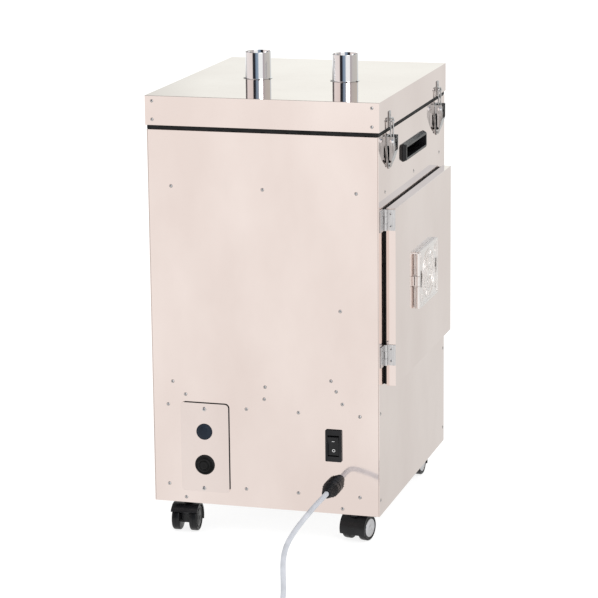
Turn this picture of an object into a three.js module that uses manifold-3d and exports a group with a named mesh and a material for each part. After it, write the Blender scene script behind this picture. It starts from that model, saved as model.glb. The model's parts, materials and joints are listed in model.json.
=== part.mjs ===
// Electric cabinet smoker on casters: a polished sheet cabinet with a hinged lid that carries two
// chimneys, a gasketed front door with an air-vent flap, two toggle latches, a pocket handle, a
// bottom compartment for the electrics and a mains lead wound into a coil.
// Millimetres, +Z up, front = -Y. The origin is on the floor under the cabinet's centre.
import * as THREE from 'three';
import { mergeVertices } from 'three/addons/utils/BufferGeometryUtils.js';
import Module from 'manifold-3d';

const wasm = await Module();
wasm.setup();

// ---------------------------------------------------------------- driving dimensions
const WIDTH = 540; // cabinet, along X
const DEPTH = 450; // cabinet, along Y
const BODY_BOTTOM = 62;
const BODY_TOP = 791;
const SHEET = 1.5;
const GAP = 0.3; // free gap between pieces that touch
const LID_HEIGHT = 56;
const LID_OVERHANG = 2;
const SEAL = 8; // height of the lid seal
const LID_BOTTOM = BODY_TOP + SEAL;
const LID_TOP = LID_BOTTOM + LID_HEIGHT;
const RIM = 15; // width of the folded rims that the lid seal lies between
const CHIMNEY = { x: -8, y: -4, apart: 88, radius: 25, wall: 2, height: 52, flange: 30 };
const DOOR = { halfWidth: 232, bottom: 311, top: 652, back: 4.5, thickness: 18, aperture: 205 };
const DOOR_HINGE_Z = [371, 630];
const VENT = { halfWidth: 77, bottom: 425, top: 537, hole: 44 };
const HANDLE = { halfWidth: 88, bottom: 713, top: 748, proud: 7, depth: 32 };
const LATCH_X = 196;
const FLOOR_PLATE_TOP = 265.5; // floor of the smoking chamber, roof of the electrics compartment
const RING_Z = 684;
const TRAY_RAIL_Z = 300;
const RACK_LEVELS = [410, 520];
const COVER = { y0: 72, y1: 169, z0: 87, z1: 264 };
const SWITCH = { y: -135.8, z: 197, halfWidth: 15.9, halfHeight: 31 };
const GLAND = { y: -134, z: 116, radius: 16.4, length: 48 };
const CASTER = { x: 236, y: 168, wheelRadius: 25, trail: 14, halfWidth: 26.5 };
const CORD_DIAMETER = 10;
const COIL = { x: -722, y: -200, middle: 55, halfWidth: 10.4, height: 20.8, entry: 42.8 };

const halfX = WIDTH / 2;
const halfY = DEPTH / 2;
const frontY = -halfY;

// ---------------------------------------------------------------- materials
const material = (color, roughness, metalness) =>
  new THREE.MeshStandardMaterial({ color, roughness, metalness });
const polished = () => material(0xe6dedb, 0.12, 1.0);
const satin = () => material(0xc9c7c4, 0.35, 1.0);
const chrome = () => material(0xd5d6d8, 0.1, 1.0);
const blackPlastic = () => material(0x17171a, 0.4, 0.0);
const blackRubber = () => material(0x1b1b1c, 0.8, 0.0);
const greyPlastic = () => material(0xcfd2d8, 0.45, 0.0);

// ---------------------------------------------------------------- helpers
const smoker = new THREE.Group();

function add(name, geometry, mat, x = 0, y = 0, z = 0, turn = 0) {
  const mesh = new THREE.Mesh(geometry, mat);
  mesh.name = name;
  mesh.position.set(x, y, z);
  mesh.rotation.z = turn;
  smoker.add(mesh);
  return mesh;
}

function toSolid(geometry) {
  const bare = geometry.clone();
  bare.deleteAttribute('normal');
  bare.deleteAttribute('uv');
  const merged = mergeVertices(bare, 1e-4);
  return new wasm.Manifold(new wasm.Mesh({
    numProp: 3,
    vertProperties: new Float32Array(merged.attributes.position.array),
    triVerts: new Uint32Array(merged.index.array),
  }));
}

function fromSolid(solid) {
  const mesh = solid.getMesh();
  const geometry = new THREE.BufferGeometry();
  geometry.setAttribute('position', new THREE.BufferAttribute(mesh.vertProperties, 3));
  geometry.setIndex(new THREE.BufferAttribute(mesh.triVerts, 1));
  geometry.computeVertexNormals();
  return geometry;
}

function join(...geometries) {
  return fromSolid(geometries.map(toSolid).reduce((sum, solid) => sum.add(solid)));
}

function cut(geometry, ...tools) {
  const rest = tools.map(toSolid).reduce((left, tool) => left.subtract(tool), toSolid(geometry));
  return fromSolid(rest);
}

// A box between two corners.
function block(x0, x1, y0, y1, z0, z1) {
  const geometry = new THREE.BoxGeometry(x1 - x0, y1 - y0, z1 - z0);
  return geometry.translate((x0 + x1) / 2, (y0 + y1) / 2, (z0 + z1) / 2);
}

// Two distances from the middle plane, mirrored to one side and put in rising order.
function span(side, a, b) {
  return side > 0 ? [Math.min(a, b), Math.max(a, b)] : [-Math.max(a, b), -Math.min(a, b)];
}

// A cylinder along an axis, between two places on that axis.
function rod(axis, radius, from, to, a, b, sides = 16) {
  const geometry = new THREE.CylinderGeometry(radius, radius, Math.abs(to - from), sides);
  const middle = (from + to) / 2;
  if (axis === 'x') return geometry.rotateZ(Math.PI / 2).translate(middle, a, b);
  if (axis === 'y') return geometry.translate(a, middle, b);
  return geometry.rotateX(Math.PI / 2).translate(a, b, middle);
}

function roundedRectangle(halfWidth, halfHeight, radius, ShapeClass = THREE.Shape) {
  const outline = new ShapeClass();
  outline.moveTo(halfWidth, -halfHeight + radius);
  outline.lineTo(halfWidth, halfHeight - radius);
  outline.absarc(halfWidth - radius, halfHeight - radius, radius, 0, Math.PI / 2);
  outline.absarc(-halfWidth + radius, halfHeight - radius, radius, Math.PI / 2, Math.PI);
  outline.absarc(-halfWidth + radius, -halfHeight + radius, radius, Math.PI, Math.PI * 1.5);
  outline.absarc(halfWidth - radius, -halfHeight + radius, radius, Math.PI * 1.5, Math.PI * 2);
  outline.closePath();
  return outline;
}

// Sheet in the XZ plane: the outline's x and y become X and Z, and it grows towards -Y.
function frontSheet(shape, thickness, curveSegments = 4) {
  const options = { depth: thickness, bevelEnabled: false, curveSegments };
  return new THREE.ExtrudeGeometry(shape, options).rotateX(Math.PI / 2);
}

// Sheet in the YZ plane: the outline's x and y become Y and Z, and it grows towards +X.
function sideSheet(shape, thickness, curveSegments = 4) {
  const options = { depth: thickness, bevelEnabled: false, curveSegments };
  const turned = new THREE.Matrix4().makeBasis(
    new THREE.Vector3(0, 1, 0), new THREE.Vector3(0, 0, 1), new THREE.Vector3(1, 0, 0));
  return new THREE.ExtrudeGeometry(shape, options).applyMatrix4(turned);
}

// A body turned about the X axis; the profile is [distance along X, radius] pairs, from axis to axis.
function turnedAlongX(profile, sides = 24) {
  const points = profile.map(([along, radius]) => new THREE.Vector2(radius, along));
  return new THREE.LatheGeometry(points, sides).rotateZ(-Math.PI / 2);
}

// ---------------------------------------------------------------- cabinet sheets
function cabinetSheets() {
  const inner = halfX - SHEET - GAP;
  const rimTop = BODY_TOP;
  const rimBottom = BODY_TOP - SHEET;

  const aperture = block(-DOOR.aperture, DOOR.aperture, frontY - 1, frontY + SHEET + 1, 338, 625);
  const pocket = block(-HANDLE.halfWidth + 6, HANDLE.halfWidth - 6, frontY - 1, frontY + SHEET + 1,
    HANDLE.bottom + 4, HANDLE.top - 4);
  const front = join(
    block(-halfX, halfX, frontY, frontY + SHEET, BODY_BOTTOM, rimTop),
    block(-inner + RIM, inner - RIM, frontY + SHEET - 0.5, frontY + RIM, rimBottom, rimTop));
  add('front_panel', cut(front, aperture, pocket), polished());

  const rear = join(
    block(-halfX, halfX, halfY - SHEET, halfY, BODY_BOTTOM, rimTop),
    block(-inner + RIM, inner - RIM, halfY - RIM, halfY - SHEET + 0.5, rimBottom, rimTop));
  add('rear_panel', rear, polished());

  const reach = halfY - SHEET - GAP;
  for (const [name, side] of [['left_panel', -1], ['right_panel', 1]]) {
    const wall = block(...span(side, halfX - SHEET, halfX), -reach, reach, BODY_BOTTOM, rimTop);
    const rim = block(...span(side, halfX - RIM, halfX - SHEET + 0.5), -reach, reach, rimBottom, rimTop);
    const sheet = join(wall, rim);
    if (side > 0) {
      add(name, sheet, polished());
      continue;
    }
    const access = block(-halfX - 1, -halfX + SHEET + 1, COVER.y0 + 9, COVER.y1 - 9, 112, 240);
    const switchHole = block(-halfX - 1, -halfX + SHEET + 1, SWITCH.y - 13, SWITCH.y + 13,
      SWITCH.z - 25, SWITCH.z + 25);
    const glandHole = rod('x', 10, -halfX - 1, -halfX + SHEET + 1, GLAND.y, GLAND.z);
    add(name, cut(sheet, access, switchHole, glandHole), polished());
  }
}

function floorsAndFrames() {
  const outX = halfX - SHEET - GAP;
  const outY = halfY - SHEET - GAP;
  const wall = 1.5;

  // Base pan: a tray with raised edges, holes for the caster stems and two rows of vent slots.
  const panCuts = [block(-outX + wall, outX - wall, -outY + wall, outY - wall, BODY_BOTTOM + 2, 120)];
  for (const sx of [-1, 1]) {
    for (const sy of [-1, 1]) {
      panCuts.push(rod('z', 5.5, BODY_BOTTOM - 1, BODY_BOTTOM + 3, sx * CASTER.x, sy * CASTER.y));
    }
    for (let i = 0; i < 5; i += 1) {
      const y = -60 + i * 30;
      panCuts.push(block(sx * 90 - 35, sx * 90 + 35, y - 4, y + 4, BODY_BOTTOM - 1, BODY_BOTTOM + 3));
    }
  }
  const pan = block(-outX, outX, -outY, outY, BODY_BOTTOM, 104);
  add('base_pan', cut(pan, ...panCuts), satin());

  // Chamber floor: an inverted tray riveted all round, with two holes for the heater's ends.
  const deck = block(-outX, outX, -outY, outY, FLOOR_PLATE_TOP - 18, FLOOR_PLATE_TOP);
  add('chamber_floor', cut(deck,
    block(-outX + wall, outX - wall, -outY + wall, outY - wall, 240, FLOOR_PLATE_TOP - wall),
    rod('z', 6, 260, 270, -40, 165), rod('z', 6, 260, 270, 40, 165)), satin());

  // Upper support ring: an angle section all round, for a hanging grate.
  const ring = block(-outX, outX, -outY, outY, RING_Z - 9, RING_Z + 9);
  add('upper_support_ring', cut(ring,
    block(-outX + wall, outX - wall, -outY + wall, outY - wall, RING_Z - 10, RING_Z + 9 - wall),
    block(-outX + 22, outX - 22, -outY + 22, outY - 22, RING_Z, RING_Z + 10)), satin());

  // Side rails for the drip pan and the rack frame.
  for (const [name, side] of [['left_tray_rail', -1], ['right_tray_rail', 1]]) {
    const upright = block(...span(side, outX - wall, outX), -170, 196, TRAY_RAIL_Z - 30,
      TRAY_RAIL_Z + wall);
    const ledge = block(...span(side, outX - 54, outX), -170, 196, TRAY_RAIL_Z, TRAY_RAIL_Z + wall);
    add(name, join(upright, ledge), satin());
  }
}

// ---------------------------------------------------------------- inside the chamber
function chamberFittings() {
  const ledge = TRAY_RAIL_Z + 1.5 + GAP;

  // Drip pan: an open tray that rests on the rails' inner edges.
  add('drip_pan', cut(block(-224, 224, -165, 185, ledge, ledge + 20),
    block(-222.5, 222.5, -163.5, 183.5, ledge + 1.5, ledge + 21)), satin());

  // Wood-chip tray on the heating element.
  const chipZ = 281.3;
  add('wood_chip_tray', join(
    cut(block(-80, 80, -110, 60, chipZ, chipZ + 16),
      block(-78.8, 78.8, -108.8, 58.8, chipZ + 1.2, chipZ + 17)),
    block(-12, 12, -140, -109, chipZ + 10, chipZ + 12)), satin());

  // Tubular heating element: up through the floor, forward, round the front, and back down.
  const z = 276.5;
  const path = new THREE.CurvePath();
  const point = (x, y, height) => new THREE.Vector3(x, y, height);
  path.add(new THREE.LineCurve3(point(-40, 165, 238), point(-40, 165, z - 8)));
  path.add(new THREE.QuadraticBezierCurve3(point(-40, 165, z - 8), point(-40, 165, z),
    point(-40, 157, z)));
  path.add(new THREE.LineCurve3(point(-40, 157, z), point(-40, -50, z)));
  path.add(new THREE.CubicBezierCurve3(point(-40, -50, z), point(-40, -103, z), point(40, -103, z),
    point(40, -50, z)));
  path.add(new THREE.LineCurve3(point(40, -50, z), point(40, 157, z)));
  path.add(new THREE.QuadraticBezierCurve3(point(40, 157, z), point(40, 165, z),
    point(40, 165, z - 8)));
  path.add(new THREE.LineCurve3(point(40, 165, z - 8), point(40, 165, 238)));
  const section = new THREE.Shape().absarc(0, 0, 4, 0, Math.PI * 2);
  add('heating_element', new THREE.ExtrudeGeometry(section, {
    steps: 40, curveSegments: 4, extrudePath: path, bevelEnabled: false }), satin());

  // Rack frame: four legs on the rails, two pairs of side ledges and two rear cross bars.
  const legX = 236;
  const legs = [];
  for (const sx of [-1, 1]) {
    for (const y of [-125, 176]) legs.push(block(sx * legX - 5, sx * legX + 5, y - 5, y + 5, ledge, 560));
    for (const level of [...RACK_LEVELS, 552]) {
      legs.push(block(...span(sx, legX - 14, legX + 2), -154, 180, level - 2, level));
    }
  }
  for (const level of RACK_LEVELS) legs.push(block(-legX, legX, 173, 179, level - 2, level));
  legs.push(block(-legX, legX, 173, 179, 550, 552));
  add('rack_frame', join(...legs), satin());

  // Wire racks on the frame's ledges.
  const wires = 11;
  RACK_LEVELS.forEach((level, index) => {
    const pieces = [];
    const rackZ = level + GAP + 3;
    for (const x of [-226, 226]) pieces.push(rod('y', 3, -152, 168, x, rackZ, 8));
    for (const y of [-150, 166]) pieces.push(rod('x', 3, -228, 228, y, rackZ, 8));
    for (let i = 0; i < wires; i += 1) {
      const x = -192 + i * (384 / (wires - 1));
      pieces.push(rod('y', 1.6, -150, 166, x, rackZ, 6));
    }
    pieces.push(rod('x', 1.6, -226, 226, 8, rackZ, 6));
    add(index === 0 ? 'lower_wire_rack' : 'upper_wire_rack', join(...pieces), chrome());
  });

  // Temperature probe held to the left wall.
  const wallX = -halfX + SHEET + GAP;
  add('temperature_probe', turnedAlongX([
    [0, 0], [0, 9], [3, 9], [3, 4.5], [14, 4.5], [14, 2.5], [70, 2.5], [70, 0]], 12),
  satin(), wallX, -150, 459);

  // Control box on the base pan, behind the service cover.
  add('control_box', frontSheet(roundedRectangle(42, 85.5, 5), 84), blackPlastic(),
    -210, 159, BODY_BOTTOM + 2 + GAP + 85.5);
}

// ---------------------------------------------------------------- left side controls
function serviceCover() {
  const midY = (COVER.y0 + COVER.y1) / 2;
  const midZ = (COVER.z0 + COVER.z1) / 2;
  const plate = roundedRectangle((COVER.y1 - COVER.y0) / 2, (COVER.z1 - COVER.z0) / 2, 7);
  const plugs = [
    { name: 'upper_blanking_plug', z: 207, neck: 12,
      face: [[-1.8, 15.8], [-4.6, 15.2], [-6.4, 11.5], [-7.4, 6], [-7.4, 0]] },
    { name: 'lower_cable_plug', z: 141, neck: 14,
      face: [[-1.8, 19.6], [-4.4, 19.2], [-5.2, 16.6], [-3.6, 15.6], [-3.6, 13.4], [-8.4, 12.6],
        [-9.2, 7.4], [-8.2, 6.6], [-8.2, 0]] },
  ];
  for (const plug of plugs) {
    const hole = new THREE.Path();
    hole.absarc(121.5 - midY, plug.z - midZ, plug.neck + 0.6, 0, Math.PI * 2, true);
    plate.holes.push(hole);
    const neck = plug.neck;
    const inside = 2.6;
    const coverFace = -SHEET - GAP - GAP;
    const profile = [[inside, 0], [inside, neck], [coverFace, neck], [coverFace, plug.face[0][1]]];
    for (const [along, radius] of plug.face.slice(1)) profile.push([along - GAP, radius]);
    add(plug.name, turnedAlongX(profile.reverse(), 20), blackRubber(), -halfX, 121.5, plug.z);
  }
  add('service_cover', sideSheet(plate, SHEET, 6), polished(), -halfX - SHEET - GAP, midY, midZ);
}

function rockerSwitch() {
  // Housing: a bezel outside and a body through the panel, with a pocket for the rocker.
  const { y, z, halfWidth, halfHeight } = SWITCH;
  const face = -halfX - GAP;
  const bezel = sideSheet(roundedRectangle(halfWidth, halfHeight, 2), 4).translate(face - 4, y, z);
  const body = block(face - 1, face + 24, y - 12.6, y + 12.6, z - 24.6, z + 24.6);
  const pocket = block(face - 6, face + 16, y - 11.2, y + 11.2, z - 20.6, z + 20.6);
  add('switch_housing', cut(join(bezel, body), pocket), blackPlastic());

  // Rocker: a shallow V seen from the side, tipped onto its lower end.
  const profile = new THREE.Shape();
  profile.moveTo(-3.5, -18.6);
  profile.lineTo(0.4, 0);
  profile.lineTo(-3.5, 18.6);
  profile.lineTo(1.5, 18.6);
  profile.lineTo(7, 8);
  profile.lineTo(7, -8);
  profile.lineTo(1.5, -18.6);
  profile.closePath();
  const width = 21.4;
  const rocker = new THREE.ExtrudeGeometry(profile, { depth: width, bevelEnabled: false });
  rocker.translate(0, 0, -width / 2).rotateX(Math.PI / 2);
  rocker.rotateY(-THREE.MathUtils.degToRad(7));
  add('switch_rocker', rocker, blackPlastic(), face - 1.2, y, z);
}

// ---------------------------------------------------------------- mains lead
function mainsLead() {
  const { y, z, radius, length } = GLAND;
  const start = -halfX;
  // Gland: its nut inside, a collar and a cap outside, and a ribbed strain relief that tapers to the lead.
  const profile = [[9, 0], [9, 11.5], [SHEET + GAP, 11.5], [SHEET + GAP, 9.7], [-GAP, 9.7],
    [-GAP, radius], [-6, radius], [-7, radius - 0.8], [-23, radius - 0.8]];
  for (let i = 0; i < 4; i += 1) {
    const along = -23 - i * 6;
    const size = radius - 1.8 - i * 1.6;
    profile.push([along - 0.6, size - 1.6], [along - 2, size - 1.6], [along - 2.6, size]);
  }
  profile.push([-length, 9.2], [-length, 0]);
  add('cable_gland', turnedAlongX(profile.reverse(), 18), blackPlastic(), start, y, z);

  // Lead: straight out of the gland, then sagging to the floor beside the coil.
  const radiusOfCord = CORD_DIAMETER / 2;
  const low = radiusOfCord + 0.2;
  const route = [
    [start - length - GAP, y, z], [-340, -133.4, 115.2], [-364, -130.9, 112.9], [-388, -127.6, 109],
    [-412, -124.2, 104], [-436, -120.6, 98.6], [-460, -117.4, 92.8], [-484, -114.8, 86.2],
    [-508, -113.2, 78.6], [-532, -114.2, 69.8], [-556, -118.4, 59.6], [-580, -125, 48],
    [-604, -132.6, 35.4], [-628, -139.2, 22.8], [-652, -143.2, 11.6],
    [COIL.x + COIL.entry, COIL.y + COIL.middle, low],
  ].map((p) => new THREE.Vector3(...p));
  const curve = new THREE.CatmullRomCurve3(route, false, 'centripetal');
  const section = new THREE.Shape().absarc(0, 0, radiusOfCord, 0, Math.PI * 2);
  add('mains_cord', new THREE.ExtrudeGeometry(section, {
    steps: 18, curveSegments: 5, extrudePath: curve, bevelEnabled: false }), greyPlastic());

  // Coil: the rest of the lead, two turns wide and two high, as one plain ring.
  const ring = [[-1, 0.2], [1, 0.2], [1, COIL.height], [-1, COIL.height], [-1, 0.2]].map(
    ([side, height]) => new THREE.Vector2(COIL.middle + side * COIL.halfWidth, height));
  add('mains_cord_coil', new THREE.LatheGeometry(ring, 28).rotateX(Math.PI / 2), greyPlastic(),
    COIL.x, COIL.y, 0);

  // Plug: a moulded body with a ribbed tail and two round pins, lying beside the coil.
  const body = turnedAlongX([[0, 0], [0, 6], [4, 6], [4, 5], [7, 5], [7, 6.6], [11, 6.6], [11, 5.6],
    [14, 5.6], [14, 8], [26, 14], [30, 17.2], [44, 17.2], [46, 15.8], [46, 0]], 16);
  const pins = [-9.5, 9.5].map((across) => rod('x', 2.4, 45, 65, across, 0, 8));
  add('mains_plug', join(body, ...pins), greyPlastic(),
    COIL.x - COIL.middle - 5, COIL.y - 37.5, 17.6, -Math.PI / 2);
}

// ---------------------------------------------------------------- front fittings
function pocketHandle() {
  const { halfWidth, bottom, top, proud, depth } = HANDLE;
  const middle = (bottom + top) / 2;
  const halfHeight = (top - bottom) / 2;
  const y = frontY - GAP;
  const frame = frontSheet(roundedRectangle(halfWidth, halfHeight, 6), proud, 5).translate(0, y, middle);
  const cup = block(-halfWidth + 7, halfWidth - 7, y - 1, y + depth, bottom + 5, top - 5);
  const hollow = block(-halfWidth + 9.5, halfWidth - 9.5, y - proud - 1, y + depth - 2,
    bottom + 7.5, top - 7.5);
  add('pocket_handle', cut(join(frame, cup), hollow), blackPlastic());
}

function toggleLatch(side, x) {
  const y = frontY - GAP;
  // Base: a tapered plate with two ears, each with a stub pin for the lever.
  const outline = new THREE.Shape();
  outline.moveTo(-18, 60);
  outline.lineTo(18, 60);
  outline.lineTo(17, 40);
  outline.lineTo(6, 2);
  outline.absarc(0, 2, 6, 0, -Math.PI, true);
  outline.lineTo(-17, 40);
  outline.closePath();
  const parts = [frontSheet(outline, 1.6, 5)];
  for (const s of [-1, 1]) {
    parts.push(block(...span(s, 14.2, 16), -15, -1, 42, 59));
    parts.push(rod('x', 1.8, ...span(s, 11.2, 15.5), -10.5, 51, 12));
  }
  add(`${side}_latch_base`, join(...parts), satin(), x, y, 724);

  // Lever: a finger plate that slopes down to the base between two tapered cheeks, which leave the
  // bail's legs free to swing.
  const finger = new THREE.Shape();
  finger.moveTo(-12.6, 0);
  finger.lineTo(12.6, 0);
  finger.lineTo(12.6, -18);
  finger.lineTo(4.5, -28);
  finger.absarc(0, -30, 4.5, 0, -Math.PI, true);
  finger.lineTo(-4.5, -28);
  finger.lineTo(-12.6, -18);
  finger.closePath();
  const slope = THREE.MathUtils.degToRad(18);
  const lever = [frontSheet(finger, 1.8, 5).rotateX(slope).translate(0, -13.6, 32)];
  const flank = new THREE.Shape();
  flank.moveTo(-15.4, 56);
  flank.lineTo(-5, 56);
  flank.lineTo(-5, 15);
  flank.lineTo(-8.6, 12.6);
  flank.lineTo(-15.4, 33);
  flank.closePath();
  for (const s of [-1, 1]) {
    const cheek = sideSheet(flank, 2).translate(s * 12.6 - 1, 0, 0);
    lever.push(cut(cheek, rod('x', 2.2, -20, 20, -10.5, 51, 12)));
  }
  lever.push(rod('x', 1.5, -12.6, 12.6, -6.7, 39.5, 10));
  add(`${side}_latch_lever`, join(...lever), chrome(), x, y, 724);

  // Bail: a wire loop from the lever's cross pin up over the keeper.
  const bail = [];
  for (const s of [-1, 1]) {
    bail.push(rod('z', 1.4, 42, 92, s * 9.4, -6.7, 8));
    const eye = cut(rod('x', 3.4, s * 9.4 - 1.6, s * 9.4 + 1.6, -6.7, 39.5, 12),
      rod('x', 1.9, -20, 20, -6.7, 39.5, 10));
    bail.push(eye);
  }
  bail.push(rod('x', 1.6, -10.6, 10.6, -6.7, 91.4, 8));
  add(`${side}_latch_bail`, join(...bail), chrome(), x, y, 724);

  // Keeper on the lid: a plate with a rounded ledge under the loop's cross bar.
  const lidFace = frontY - LID_OVERHANG - GAP;
  add(`${side}_latch_keeper`, join(
    block(-6.6, 6.6, -1.5, 0, LID_BOTTOM + 2, LID_BOTTOM + 30),
    block(-6.6, 6.6, -7, -1, LID_BOTTOM + 10, LID_BOTTOM + 12),
    rod('x', 1.6, -6.6, 6.6, -7, LID_BOTTOM + 11.4, 10)), satin(), x, lidFace, 0);
}

// ---------------------------------------------------------------- door
function door() {
  const { halfWidth, bottom, top, back, thickness, aperture } = DOOR;
  const yBack = frontY - back;
  const yFront = yBack - thickness;
  const ventX = VENT.hole + 16;
  const ventHole = block(-ventX, ventX, yFront - 1, yBack + 3, 481 - VENT.hole, 481 + VENT.hole);

  // Outer pan, open at the back.
  add('door_panel', cut(block(-halfWidth, halfWidth, yFront, yBack, bottom, top),
    block(-halfWidth + SHEET, halfWidth - SHEET, yFront + SHEET, yBack + 1, bottom + SHEET, top - SHEET),
    ventHole), polished());

  // Inner sheet that closes the pan's back, with its own vent hole.
  const edge = SHEET + GAP;
  add('door_liner', cut(block(-halfWidth + edge, halfWidth - edge, yBack - SHEET, yBack,
    bottom + edge, top - edge), ventHole), satin());

  // Seal between the door and the front sheet.
  const seal = 18;
  add('door_gasket', cut(
    block(-halfWidth + 2, halfWidth - 2, yBack + GAP, frontY - GAP, bottom + 2, top - 2),
    block(-halfWidth + seal, halfWidth - seal, yBack, frontY, bottom + seal, top - seal)), blackRubber());

  // Vent frame on the door, and the hinged vent flap over it.
  const frameFace = yFront - GAP;
  const midZ = (VENT.bottom + VENT.top) / 2;
  const halfHeight = (VENT.top - VENT.bottom) / 2;
  const frameShape = roundedRectangle(VENT.halfWidth, halfHeight, 5);
  frameShape.holes.push(roundedRectangle(VENT.hole + 16, VENT.hole, 3, THREE.Path));
  const knuckleX = -VENT.halfWidth - 3.2;
  const knuckleY = -6.2;
  const frame = [frontSheet(frameShape, 4, 5)];
  frame.push(cut(rod('z', 3.4, -10, 9, knuckleX, knuckleY, 14), block(-90, -60, -30, 30, 50, 60)));
  frame.push(block(knuckleX - 2, -VENT.halfWidth + 4, -4, -0.5, -10, 9));
  frame.push(rod('z', 1.4, -50, 50, knuckleX, knuckleY, 10));
  add('vent_frame', join(...frame), satin(), 0, frameFace, midZ);

  const flapShape = roundedRectangle(VENT.halfWidth - 1, halfHeight, 6);
  const flap = [frontSheet(flapShape, 5, 6).translate(0, -4.4, 0)];
  for (const [z0, z1] of [[-halfHeight + 2, -11], [10, halfHeight - 2]]) {
    flap.push(cut(rod('z', 3.4, z0, z1, knuckleX, knuckleY, 14), rod('z', 1.9, z0 - 1, z1 + 1, knuckleX,
      knuckleY, 10)));
    flap.push(block(knuckleX + 2.6, -VENT.halfWidth + 4, -8.6, -5.2, z0, z1));
  }
  add('vent_flap', join(...flap), chrome(), 0, frameFace, midZ);
}

// Two leaves and a barrel; the fixed leaf carries the pin and the outer knuckles.
// fixedLeaf and movingLeaf are boxes given by [x0, x1, y0, y1] around the barrel's centre.
function butt(fixedName, movingName, axis, height, fixedLeaf, movingLeaf, x, y, z) {
  const half = height / 2;
  const third = height / 6;
  const barrel = 3.1;
  const along = (from, to, radius, sides = 14) => rod(axis, radius, from, to, 0, 0, sides);
  const leaf = ([a0, a1, b0, b1], from, to) => (axis === 'z'
    ? block(a0, a1, b0, b1, from, to) : block(from, to, a0, a1, b0, b1));
  const bore = along(-half - 1, half + 1, 1.9, 12);
  const room = rod(axis, barrel + 0.4, -third - 0.2, third + 0.2, 0, 0, 14);
  const outerRoom = [rod(axis, barrel + 0.4, -half - 1, -third + 0.2, 0, 0, 14),
    rod(axis, barrel + 0.4, third - 0.2, half + 1, 0, 0, 14)];
  const fixed = join(cut(leaf(fixedLeaf, -half, half), room), along(-half, -third - 0.2, barrel),
    along(third + 0.2, half, barrel), along(-half, half, 1.5, 12));
  const moving = join(cut(leaf(movingLeaf, -half, half), ...outerRoom),
    cut(along(-third + 0.2, third - 0.2, barrel), bore));
  add(fixedName, fixed, satin(), x, y, z);
  add(movingName, moving, satin(), x, y, z);
}

function hinges() {
  // Door: barrel in the corner between the door's left edge and the front sheet.
  const x = -DOOR.halfWidth - 3.6;
  const y = frontY - 4;
  DOOR_HINGE_Z.forEach((z, index) => {
    const place = index === 0 ? 'lower' : 'upper';
    butt(`${place}_door_hinge_body_leaf`, `${place}_door_hinge_door_leaf`, 'z', 40,
      [-26, -1, 2.2, 3.7], [2.2, 3.3, -18.5, 1], x, y, z);
  });

  // Lid: barrels behind the rear sheet, level with the seal.
  const rearFace = halfY + LID_OVERHANG;
  ['left', 'right'].forEach((place, index) => {
    const hingeX = index === 0 ? -165 : 165;
    butt(`${place}_lid_hinge_body_leaf`, `${place}_lid_hinge_lid_leaf`, 'x', 60,
      [-rearFace - 4.2 + halfY + GAP, -2.4, -26, -1], [-3.6, -2.2, 1, 24],
      hingeX, rearFace + 4.2, LID_BOTTOM - 4);
  });
}

// ---------------------------------------------------------------- lid
function lid() {
  const outX = halfX + LID_OVERHANG;
  const outY = halfY + LID_OVERHANG;
  const holes = [-1, 1].map((s) => rod('z', CHIMNEY.radius - CHIMNEY.wall, LID_TOP - 5, LID_TOP + 5,
    CHIMNEY.x, CHIMNEY.y + s * CHIMNEY.apart, 24));
  add('lid_shell', cut(block(-outX, outX, -outY, outY, LID_BOTTOM, LID_TOP),
    block(-outX + SHEET, outX - SHEET, -outY + SHEET, outY - SHEET, LID_BOTTOM + SHEET, LID_TOP - SHEET),
    block(-halfX + RIM, halfX - RIM, -halfY + RIM, halfY - RIM, LID_BOTTOM - 1, LID_BOTTOM + 5),
    ...holes), polished());

  add('lid_gasket', cut(
    block(-halfX + 0.6, halfX - 0.6, -halfY + 0.6, halfY - 0.6, BODY_TOP + GAP, LID_BOTTOM - GAP),
    block(-halfX + RIM, halfX - RIM, -halfY + RIM, halfY - RIM, BODY_TOP, LID_BOTTOM)), blackRubber());

  const { radius, wall, height, flange } = CHIMNEY;
  const profile = [[radius - wall, 0], [flange, 0], [flange, 1.2], [radius, 1.2], [radius, height],
    [radius - wall, height], [radius - wall, 0]].map(([r, h]) => new THREE.Vector2(r, h));
  for (const [name, s] of [['front_chimney', -1], ['rear_chimney', 1]]) {
    add(name, new THREE.LatheGeometry(profile, 28).rotateX(Math.PI / 2), chrome(),
      CHIMNEY.x, CHIMNEY.y + s * CHIMNEY.apart, LID_TOP + GAP);
  }
}

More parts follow.
